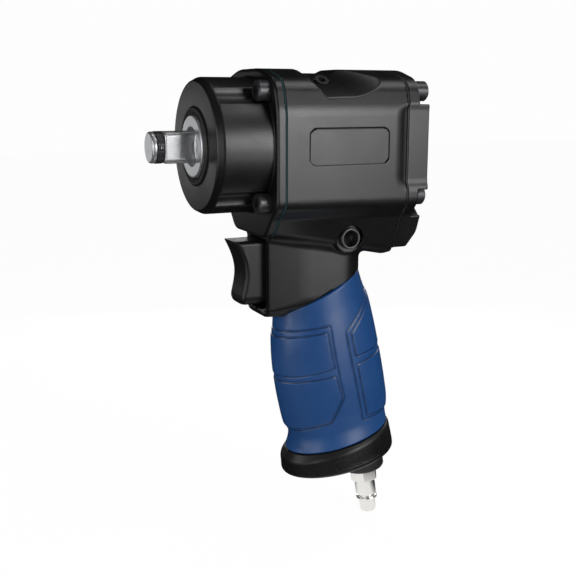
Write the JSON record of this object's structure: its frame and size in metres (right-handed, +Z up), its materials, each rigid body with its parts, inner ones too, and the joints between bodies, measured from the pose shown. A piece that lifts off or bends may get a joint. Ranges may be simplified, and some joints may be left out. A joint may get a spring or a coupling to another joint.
{
  "type": "air impact wrench",
  "caption": "Short pneumatic impact wrench with a square drive, round hammer case, rubber pistol grip, sliding trigger, push-through reverse valve and a quick-release air plug under its base.",
  "frame": {"origin": "centre of the anvil's shoulder face on the drive axis, where the square begins", "axes": "+X forward along the drive axis out of the anvil, +Y to the tool's left side, +Z up with the grip pointing down"},
  "size_m": [0.1171, 0.0596, 0.2098],
  "materials": {
    "painted_casting": "satin black paint on die-cast aluminium",
    "machined_steel": "ground and machined steel",
    "black_oxide_steel": "black oxide",
    "bronze": "turned bronze",
    "blue_rubber": "moulded blue rubber, matt",
    "black_rubber": "black rubber",
    "gasket_sheet": "dark teal fibre sheet",
    "black_plastic": "black moulded nylon",
    "vane_laminate": "brown laminate",
    "felt": "grey felt",
    "anodised_aluminium": "black anodised",
    "nickel_plate": "bright nickel on steel"
  },
  "bodies": {
    "housing": {"motor_housing": "painted_casting", "hammer_case": "painted_casting", "rear_cover": "painted_casting", "grip_sleeve": "blue_rubber", "base_cap": "black_plastic", "inlet_bush": "anodised_aluminium", "air_plug": "nickel_plate", "nose_seal": "black_rubber", "anvil_bush": "bronze", "case_bolts": "black_oxide_steel", "front_gasket": "gasket_sheet", "oil_plug": "black_oxide_steel", "front_bearing_plate": "machined_steel", "front_bearing": "machined_steel", "cylinder_liner": "machined_steel", "rear_bearing_plate": "machined_steel", "rear_bearing": "machined_steel", "liner_dowel": "machined_steel", "rear_gasket": "black_rubber", "cover_washers": "black_oxide_steel", "cover_bolts": "black_oxide_steel", "reverse_sleeve": "black_oxide_steel", "throttle_bush": "bronze", "throttle_spring": "machined_steel", "muffler": "felt", "inlet_screen": "machined_steel"},
    "anvil": {"anvil": "machined_steel", "friction_ring": "black_oxide_steel", "ring_cushion": "black_rubber"},
    "rotor": {"rotor": "machined_steel", "rotor_vanes": "vane_laminate", "hammer_cage": "machined_steel", "hammer_pin": "machined_steel"},
    "dog": {"hammer_dog": "machined_steel"},
    "trigger": {"trigger": "black_plastic", "trigger_stem": "machined_steel", "throttle_valve": "bronze"},
    "reverse": {"reverse_spool": "black_oxide_steel"}
  },
  "joints": [
    {"name": "anvil_spin", "type": "hinge", "parent": "housing", "child": "anvil", "pos_m": [0, 0, 0], "axis": [1, 0, 0], "continuous": true},
    {"name": "rotor_spin", "type": "hinge", "parent": "housing", "child": "rotor", "pos_m": [-0.05, 0, 0], "axis": [1, 0, 0], "continuous": true},
    {"name": "hammer_rock", "type": "hinge", "parent": "rotor", "child": "dog", "pos_m": [-0.0186, 0, 0.0165], "axis": [1, 0, 0], "range_deg": [-6, 6]},
    {"name": "trigger_slide", "type": "slide", "parent": "housing", "child": "trigger", "axis": [-1, 0, 0], "range_m": [0, 0.006], "stiffness_N_per_m": 800, "springref_m": -0.004, "deforming": ["throttle_spring"]},
    {"name": "reverse_slide", "type": "slide", "parent": "housing", "child": "reverse", "axis": [0, 1, 0], "range_m": [-0.005, 0]}
  ]
}
